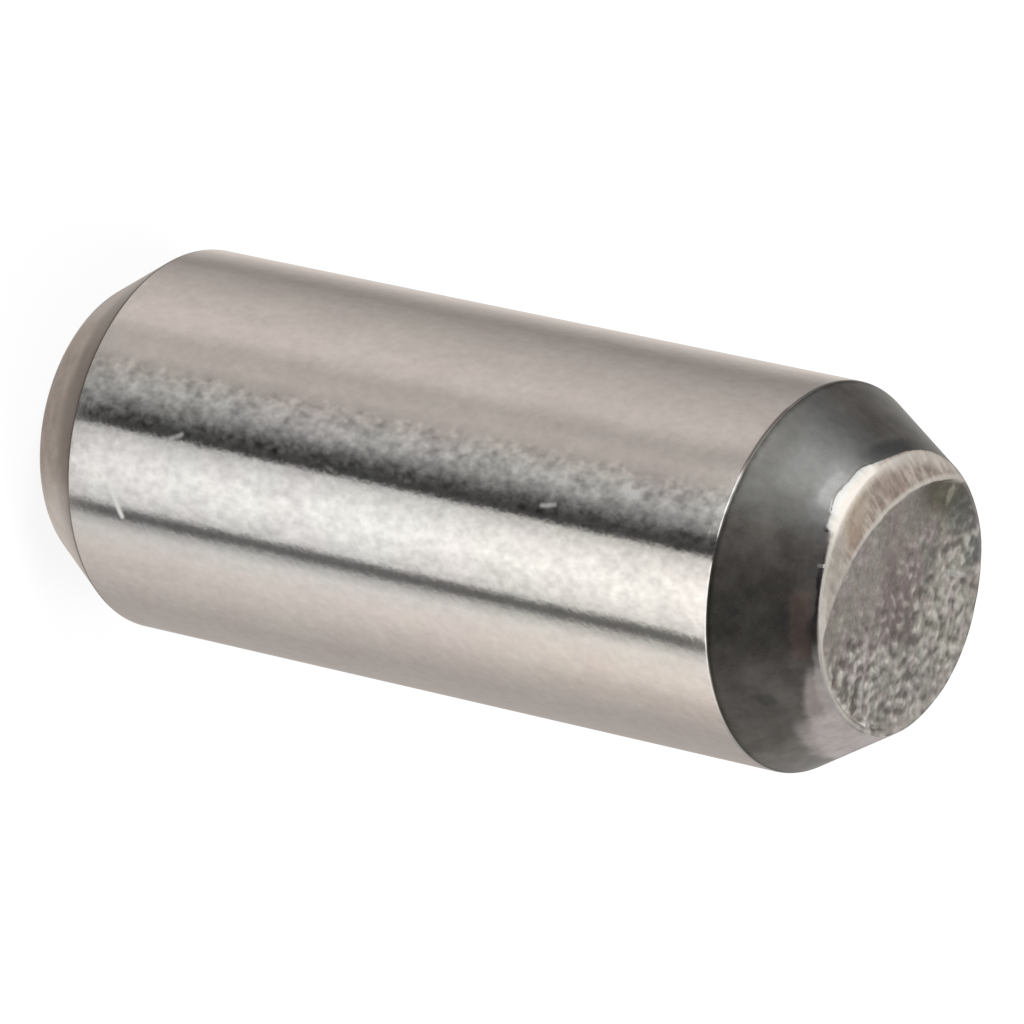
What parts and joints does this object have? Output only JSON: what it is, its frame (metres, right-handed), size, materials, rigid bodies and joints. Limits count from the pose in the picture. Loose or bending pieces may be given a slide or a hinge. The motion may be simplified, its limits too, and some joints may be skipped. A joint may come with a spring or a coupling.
{
  "type": "dowel pin",
  "caption": "Solid steel dowel pin with a ground cylindrical body, long end chamfers, a plain end face and an opposite end face left rough from cropping.",
  "frame": {"origin": "middle of the plain bottom end face, which the pin stands on", "axes": "+Z along the pin, from the plain end to the cropped end; -Y faces the side that the picture looks at"},
  "size_m": [0.01, 0.01, 0.0245],
  "materials": {
    "ground_steel": "ground bright on the body, dark from hardening on the chamfers, grey and rough on the cropped end"
  },
  "bodies": {
    "root": {"dowel_pin": "ground_steel"}
  },
  "joints": []
}
